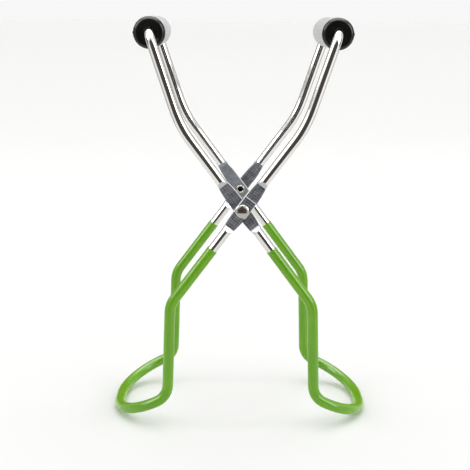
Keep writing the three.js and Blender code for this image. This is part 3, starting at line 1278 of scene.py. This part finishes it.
@dataclass
class Pivot:
    """A pivot's rivet and the washer between its strips."""

    end: End
    shape: WireShape = field(default_factory=WireShape)
    strip: PressedStrip = field(default_factory=PressedStrip)
    shank_radius: float = 1.9
    head_radius: float = 3.4
    head_rise: float = 1.3
    head_lip: float = 0.4
    roll_radius: float = 2.5
    roll_rise: float = 0.7
    eye_radius: float = 1.4
    eye_depth: float = 3.0
    washer_radius: float = 3.2
    washer_hole: float = 2.05
    washer_thickness: float = 0.5
    washer_ease: float = 0.08
    seat: float = 0.05
    sides: int = 64

    def centre(self) -> Vector:
        """The middle of the riveted strips, in millimetres."""
        return Vector((0, self.end.sign * self.shape.half_spacing, self.shape.pivot_z))

    def make_rivet(self) -> bpy.types.Object:
        """Turns the rivet: domed head outside, rolled eye inside.

        Returns:
            The rivet's object.
        """
        stack = self.strip.set_off + self.strip.half_thickness
        head, roll = stack + self.seat, -stack - self.seat
        tip = roll - self.roll_rise
        crown = self.head_rise - self.head_lip
        bulge = (self.head_radius**2 + crown**2) / (2 * crown)
        slope = math.asin((self.head_radius - 0.12) / bulge)
        drop = bulge - bulge * math.cos(slope)
        dome = [
            (bulge * math.sin(a), head + self.head_rise - bulge * (1 - math.cos(a)))
            for a in np.linspace(slope, 0, 14)
        ]
        dome = [(self.head_radius, head + self.head_rise - drop - 0.1), *dome]
        dome[-1] = (0.0, dome[-1][1])
        middle = (self.eye_radius + self.roll_radius) / 2
        half = (self.roll_radius - self.eye_radius) / 2
        rolled = [
            (middle - half * math.cos(a), tip + half * (1 - math.sin(a)))
            for a in np.linspace(0, math.pi, 12)
        ]
        profile = [
            (0, tip + self.eye_depth),
            (self.eye_radius - 0.3, tip + self.eye_depth - 0.2),
            (self.eye_radius, tip + self.eye_depth - 0.6),
            *rolled,
            (self.roll_radius, roll),
            (self.shank_radius, roll),
            (self.shank_radius, head),
            (self.head_radius - 0.1, head),
            *dome,
        ]
        vertices, faces = lathe(profile, self.centre(), self.end.sign, self.sides)
        finishes = [TurnedSteel(name="polished_rivet").build(), BoreShade().build()]
        piece = mesh_object(f"rivet_{self.end.value}", vertices, faces, finishes)
        # The eye's inward faces get the painted shade.
        for polygon in piece.data.polygons:
            off = (polygon.center / MM - self.centre()) * Vector((1, 0, 1))
            if off.length < self.eye_radius + 0.01 and polygon.normal.y * self.end.sign < 0.2:
                polygon.material_index = 1
        return piece

    def make_washer(self) -> bpy.types.Object:
        """Turns the washer with eased edges.

        Returns:
            The washer's object.
        """
        half, ease = self.washer_thickness / 2, self.washer_ease
        profile = [
            (self.washer_hole, -half),
            (self.washer_radius - ease, -half),
            (self.washer_radius, -half + ease),
            (self.washer_radius, half - ease),
            (self.washer_radius - ease, half),
            (self.washer_hole, half),
        ]
        gap = 2 * (self.strip.set_off - self.strip.half_thickness)
        centre = self.centre()
        centre.y += self.end.sign * (-gap / 2 + self.seat + half)
        vertices, faces = lathe(profile, centre, self.end.sign, self.sides)
        finish = TurnedSteel(name="plated_washer", tint="8c8f93", roughness=0.3).build()
        return mesh_object(f"washer_{self.end.value}", vertices, faces, [finish])

    def make(self) -> list[bpy.types.Object]:
        """Makes the rivet and washer and hands each to the frame.

        Returns:
            The pieces.
        """
        end = self.end.value
        return [
            hand_over(self.make_rivet(), f"pivot_rivet_{end}", "outer_half"),
            hand_over(self.make_washer(), f"spacer_washer_{end}", "inner_half"),
        ]


class Light(Enum):
    """What a soft box is for."""

    BOTH = "both"
    FILL = "fill"
    GLOSS = "gloss"


@dataclass(frozen=True)
class SoftBox:
    """A soft box that faces its aim: lengths in millimetres, power in watts."""

    name: str
    place: tuple[float, float, float]
    aim: tuple[float, float, float]
    size: tuple[float, float]
    power: float
    use: Light = Light.BOTH

    def hang(self) -> None:
        """Hangs the light; a fill makes no highlights, and a gloss box lights nothing matt."""
        data = bpy.data.lights.new(self.name, "AREA")
        data.shape = "RECTANGLE"
        data.size, data.size_y = (side * MM for side in self.size)
        data.energy = self.power
        lamp = bpy.data.objects.new(self.name, data)
        bpy.context.scene.collection.objects.link(lamp)
        lamp.visible_diffuse = self.use is not Light.GLOSS
        lamp.visible_glossy = self.use is not Light.FILL
        lamp.location = Vector(self.place) * MM
        way = Vector(self.aim) - Vector(self.place)
        lamp.rotation_euler = way.to_track_quat("-Z", "Y").to_euler()


SOFT_BOXES = (
    SoftBox("top_box", (250, 480, 1000), (250, 480, 0), (900, 700), 0.9),
    SoftBox("far_box", (500, 3800, 2500), (500, 3800, 0), (3000, 3000), 1.6),
    SoftBox("left_box", (-900, -300, 800), (-40, 0, 150), (650, 650), 8.0, Light.GLOSS),
    SoftBox("right_box", (900, -560, 560), (40, 0, 150), (420, 650), 5.0, Light.GLOSS),
    SoftBox("left_fill", (-1500, -60, 620), (0, -20, 90), (600, 500), 3.5, Light.FILL),
    SoftBox("right_fill", (1500, -60, 620), (0, -20, 90), (600, 500), 3.5, Light.FILL),
)


@dataclass
class Studio:
    """The pale floor, the white surround, the soft lights and the camera."""

    camera_at: tuple[float, float, float] = (-9.1, -651.0, 211.45)
    yaw_deg: float = -0.52
    roll_deg: float = 0.5
    pitch_deg: float = 10.26
    lens_mm: float = 93.83
    clip_end: float = 200.0
    near_floor: float = 320.0
    far_floor: float = 30000.0
    tent_rise: float = 1.3
    wall_glow: float = 1.2
    back_glow: float = 0.8
    roof_glow: float = 1.9
    dark_glow: float = 0.085
    edge_share: float = 0.12
    backdrop: float = 0.935
    fill_share: float = 0.91
    key_glow: float = 6.0
    balance: float = 0.12

    def floor(self) -> None:
        """Lays the floor: a near disc, and a far ring that only the camera and light see."""
        finish = StudioSweep().build()
        sides = 96
        turns = [2 * math.pi * k / sides for k in range(sides)]
        inner, outer = (
            [(radius * math.cos(a) * MM, radius * math.sin(a) * MM, 0) for a in turns]
            for radius in (self.near_floor, self.far_floor)
        )
        pairs = [(k, (k + 1) % sides) for k in range(sides)]
        disc = [(0, 1 + k, 1 + j) for k, j in pairs]
        ring = [(k, sides + k, sides + j, j) for k, j in pairs]
        near = mesh_object("floor_near", np.array([(0, 0, 0), *inner]), disc, [finish])
        far = mesh_object("floor_far", np.array(inner + outer), ring, [finish])
        far.visible_glossy = False

    def world(self) -> None:
        """Surrounds the set with white walls, dark to the front where the studio is unlit."""
        world = bpy.data.worlds.new("studio")
        bpy.context.scene.world = world
        world.use_nodes = True
        tree = world.node_tree
        tree.nodes.clear()
        direction = add_node(tree, "ShaderNodeTexCoord").outputs["Generated"]
        split = add_node(tree, "ShaderNodeSeparateXYZ", inputs={0: direction}).outputs
        smooth = {"interpolation_type": "SMOOTHSTEP"}
        wide = add_node(
            tree, "ShaderNodeMath", {"operation": "ABSOLUTE"}, {0: split["X"]}
        ).outputs[0]
        raised = add_node(tree, "ShaderNodeMath", {"operation": "MAXIMUM"}, {0: split["Z"], 1: 0.0})
        tent = add_node(
            tree,
            "ShaderNodeMath",
            {"operation": "MULTIPLY_ADD"},
            {0: raised.outputs[0], 1: self.tent_rise, 2: wide},
        ).outputs[0]
        ahead = add_node(
            tree,
            "ShaderNodeMapRange",
            smooth,
            {"Value": split["Y"], "From Min": 0.0, "From Max": 0.25, "To Min": 1.0, "To Max": 0.0},
        ).outputs[0]
        # Each panel: what it depends on, where it starts and ends, its value at both, the share
        # of it that stays, and how it joins the rest. The last two dim the walls' far edges.
        panels = (
            (wide, 0.58, 0.76, 0.0, self.wall_glow, ahead, "MAXIMUM"),
            (tent, 0.8, 1.04, 0.0, self.wall_glow, ahead, "MAXIMUM"),
            (split["Y"], -0.1, 0.3, 0.0, self.back_glow, 1.0, "MAXIMUM"),
            (split["Z"], 0.8, 0.92, 0.0, self.roof_glow, 1.0, "MAXIMUM"),
            (split["Y"], 0.74, 0.86, 1.0, self.edge_share, 1.0, "MULTIPLY"),
            (wide, 0.94, 0.97, 1.0, self.edge_share, 1.0, "MULTIPLY"),
        )
        glow: bpy.types.NodeSocket | float = self.dark_glow
        for value, low, high, at_low, at_high, share, joins in panels:
            limits = {"From Min": low, "From Max": high, "To Min": at_low, "To Max": at_high}
            panel = add_node(tree, "ShaderNodeMapRange", smooth, {"Value": value, **limits})
            shared = add_node(
                tree, "ShaderNodeMath", {"operation": "MULTIPLY"}, {0: panel.outputs[0], 1: share}
            )
            glow = add_node(
                tree, "ShaderNodeMath", {"operation": joins}, {0: shared.outputs[0], 1: glow}
            ).outputs[0]
        tilt = add_node(
            tree,
            "ShaderNodeMath",
            {"operation": "MULTIPLY_ADD"},
            {0: split["X"], 1: self.balance, 2: 1.0},
        ).outputs[0]
        glow = add_node(
            tree, "ShaderNodeMath", {"operation": "MULTIPLY"}, {0: glow, 1: tilt}
        ).outputs[0]
        strength = add_node(
            tree, "ShaderNodeMath", {"operation": "MULTIPLY"}, {0: glow, 1: self.fill_share}
        ).outputs[0]
        key = add_node(
            tree,
            "ShaderNodeMapRange",
            smooth,
            {"Value": split["Z"], "From Min": 0.72, "From Max": 0.88, "To Max": self.key_glow},
        )
        glow = add_node(
            tree, "ShaderNodeMath", {"operation": "MAXIMUM"}, {0: key.outputs[0], 1: glow}
        ).outputs[0]
        rays = add_node(tree, "ShaderNodeLightPath").outputs
        for ray, value in (("Is Glossy Ray", glow), ("Is Camera Ray", self.backdrop)):
            strength = add_node(
                tree,
                "ShaderNodeMix",
                {"data_type": "FLOAT"},
                {"Factor": rays[ray], "A": strength, "B": value},
            ).outputs[0]
        tone = add_node(tree, "ShaderNodeValToRGB", inputs={"Fac": strength})
        ramp(tone, [(0.1, linear("ffeadf")), (0.4, linear("ffffff"))])
        shader = add_node(
            tree,
            "ShaderNodeBackground",
            inputs={"Color": tone.outputs["Color"], "Strength": strength},
        )
        add_node(tree, "ShaderNodeOutputWorld", inputs={"Surface": shader.outputs[0]})

    def camera(self) -> None:
        """Sets the camera."""
        data = bpy.data.cameras.new("camera")
        data.lens = self.lens_mm
        data.sensor_width = 36.0
        data.clip_end = self.clip_end
        camera = bpy.data.objects.new("camera", data)
        bpy.context.scene.collection.objects.link(camera)
        camera.location = Vector(self.camera_at) * MM
        turns = ((self.yaw_deg, "Z"), (90 - self.pitch_deg, "X"), (self.roll_deg, "Z"))
        aim = Matrix.Identity(4)
        for degrees, axis in turns:
            aim = aim @ Matrix.Rotation(math.radians(degrees), 4, axis)
        camera.rotation_euler = aim.to_euler()
        bpy.context.scene.camera = camera

    def build(self) -> None:
        """Builds the whole set."""
        self.camera()
        self.floor()
        self.world()
        for box in SOFT_BOXES:
            box.hang()
        bpy.context.scene.view_settings.view_transform = "Standard"


def main() -> None:
    """Builds the lifter and its set, and reports each piece."""
    logging.basicConfig(level=logging.INFO, format="%(message)s")
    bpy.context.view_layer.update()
    Studio().build()
    makers = [
        *(BentHalf(half) for half in Half),
        *(JawRoller(half) for half in Half),
        *(Pivot(end) for end in End),
    ]
    for maker in makers:
        for piece in maker.make():
            LOG.info("%s: %d faces", piece.name, len(piece.data.polygons))


if __name__ == "__main__":
    main()
